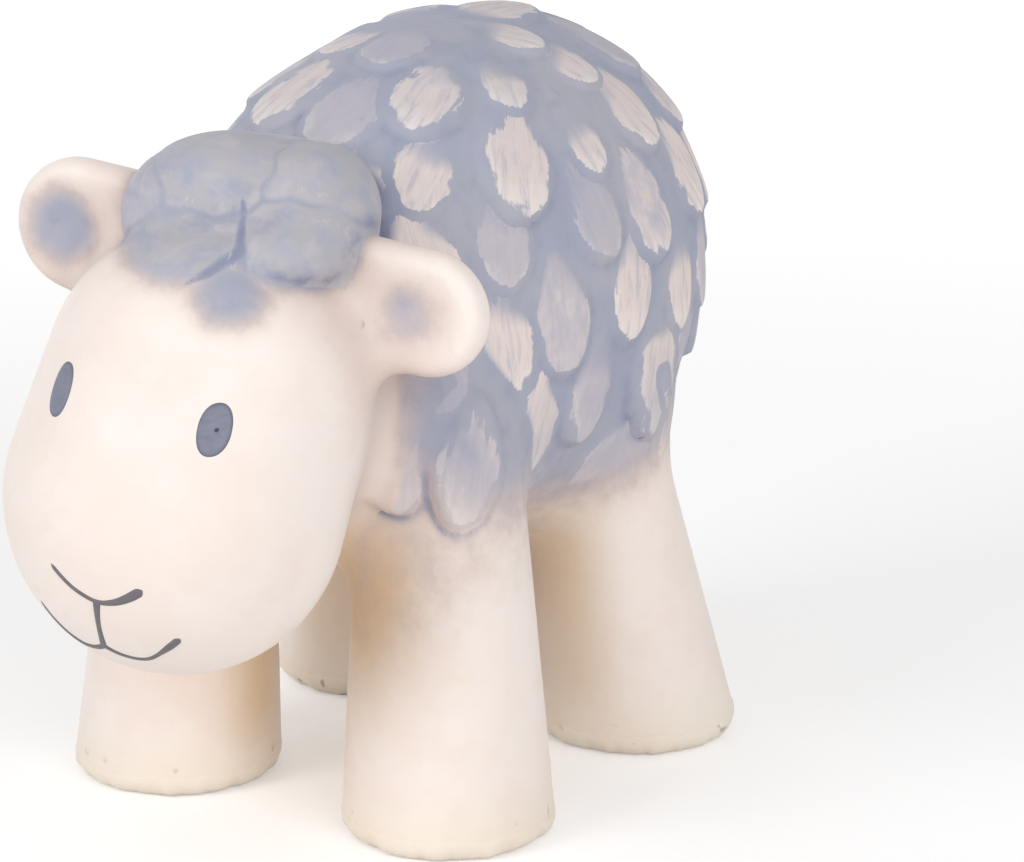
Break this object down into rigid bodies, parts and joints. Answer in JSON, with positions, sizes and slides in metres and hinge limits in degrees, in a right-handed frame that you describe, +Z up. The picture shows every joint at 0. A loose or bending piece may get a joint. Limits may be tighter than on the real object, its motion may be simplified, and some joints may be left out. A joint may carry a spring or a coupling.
{
  "type": "sheep bath toy",
  "caption": "Hollow hand-painted rubber sheep on four stout legs, with a curly fleece, a smooth tipped head and a rattle ball loose inside.",
  "frame": {"origin": "on the floor under the middle of the sheep's outline", "axes": "+X towards the sheep's left side, -Y the way it faces, +Z up"},
  "size_m": [0.0638, 0.112, 0.086],
  "materials": {
    "cream_rubber": "natural cream rubber, satin, faintly pink, yellowish in the creases",
    "fleece_rubber": "blue-grey brush paint on cream rubber, with dry-brushed cream tips",
    "face_paint": "matt slate paint, brushed on by hand",
    "case_plastic": "moulded plastic, satin",
    "bead_steel": "plain steel balls"
  },
  "bodies": {
    "sheep": {"body_shell": "fleece_rubber", "topknot": "fleece_rubber", "tail": "fleece_rubber", "head_shell": "cream_rubber", "ear_left": "cream_rubber", "ear_right": "cream_rubber", "leg_front_left": "cream_rubber", "leg_front_right": "cream_rubber", "leg_rear_left": "cream_rubber", "leg_rear_right": "cream_rubber", "sole_front_left": "cream_rubber", "sole_front_right": "cream_rubber", "sole_rear_left": "cream_rubber", "sole_rear_right": "cream_rubber", "eye_left": "face_paint", "eye_right": "face_paint", "mouth_line": "face_paint"},
    "rattle_ball": {"rattle_case_lower": "case_plastic", "rattle_case_upper": "case_plastic"},
    "loose_bead_1": {"bead_1": "bead_steel"},
    "loose_bead_2": {"bead_2": "bead_steel"},
    "loose_bead_3": {"bead_3": "bead_steel"},
    "loose_bead_4": {"bead_4": "bead_steel"}
  },
  "joints": [
    {"name": "rattle_roll", "type": "hinge", "parent": "sheep", "child": "rattle_ball", "pos_m": [-0.00108, 0.01632, 0.0668], "axis": [1, 0, 0], "range_deg": [-30, 30]},
    {"name": "bead_1_hop", "type": "slide", "parent": "rattle_ball", "child": "loose_bead_1", "axis": [0, 0, 1], "range_m": [0, 0.012]},
    {"name": "bead_2_hop", "type": "slide", "parent": "rattle_ball", "child": "loose_bead_2", "axis": [0, 0, 1], "range_m": [0, 0.012]},
    {"name": "bead_3_hop", "type": "slide", "parent": "rattle_ball", "child": "loose_bead_3", "axis": [0, 0, 1], "range_m": [0, 0.012]},
    {"name": "bead_4_hop", "type": "slide", "parent": "rattle_ball", "child": "loose_bead_4", "axis": [0, 0, 1], "range_m": [0, 0.012]}
  ]
}
